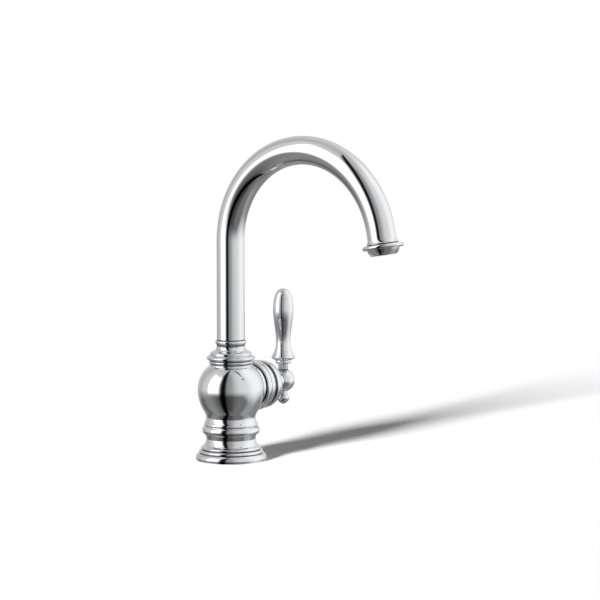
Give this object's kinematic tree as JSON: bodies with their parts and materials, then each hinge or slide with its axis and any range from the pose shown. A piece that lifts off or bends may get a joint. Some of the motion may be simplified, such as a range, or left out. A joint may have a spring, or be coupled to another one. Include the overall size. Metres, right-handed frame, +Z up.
{
  "type": "beverage faucet",
  "caption": "Single-hole beverage faucet with a bulb body, a slim gooseneck spout that swivels and a baluster side lever.",
  "frame": {"origin": "centre of the base's underside, on the worktop, on the axis of the worktop's hole", "axes": "+Z up along the body's axis, the spout reaches out along -Y, the handle stands out along +X"},
  "size_m": [0.1054, 0.1923, 0.3863],
  "materials": {
    "polished_chrome": "polished chrome plate",
    "machined_brass": "machined, unplated",
    "copper": "drawn copper tube, dulled",
    "black_rubber": "matte",
    "bearing_plastic": "matte black acetal",
    "cartridge_plastic": "matte grey",
    "stainless_steel": "brushed",
    "ceramic": "lapped ceramic"
  },
  "bodies": {
    "body": {"base_flange": "polished_chrome", "base_gasket": "black_rubber", "body_shell": "polished_chrome", "waterway_column": "machined_brass", "spout_collar": "polished_chrome", "upper_bush": "bearing_plastic", "lower_bush": "bearing_plastic", "cartridge_housing": "machined_brass", "boss_flange": "polished_chrome", "bonnet": "polished_chrome", "cartridge_seal": "black_rubber", "cartridge_base": "cartridge_plastic", "cartridge_sleeve": "cartridge_plastic", "fixed_disc": "ceramic", "gland_nut": "machined_brass", "shank": "machined_brass", "rubber_washer": "black_rubber", "steel_washer": "stainless_steel", "mounting_nut": "machined_brass", "inlet_tube": "copper", "inlet_adapter": "machined_brass"},
    "spout": {"spout_tube": "polished_chrome", "spout_ferrule": "polished_chrome", "spout_spigot": "machined_brass", "spout_seals": "black_rubber", "spout_clip": "stainless_steel", "outlet_collar": "polished_chrome", "aerator_housing": "polished_chrome", "aerator_washer": "black_rubber", "aerator_screen": "stainless_steel", "aerator_insert": "cartridge_plastic"},
    "handle": {"moving_disc": "ceramic", "valve_stem": "machined_brass", "stem_seal": "black_rubber", "handle_hub": "polished_chrome", "hub_set_screw": "stainless_steel", "lever_spacer": "polished_chrome", "lever": "polished_chrome", "finial": "polished_chrome"}
  },
  "joints": [
    {"name": "spout_swivel", "type": "hinge", "parent": "body", "child": "spout", "pos_m": [0, 0, 0], "axis": [0, 0, 1], "continuous": true},
    {"name": "handle_turn", "type": "hinge", "parent": "body", "child": "handle", "pos_m": [0, 0, 0.0563], "axis": [1, 0, 0], "range_deg": [0, 90]}
  ]
}
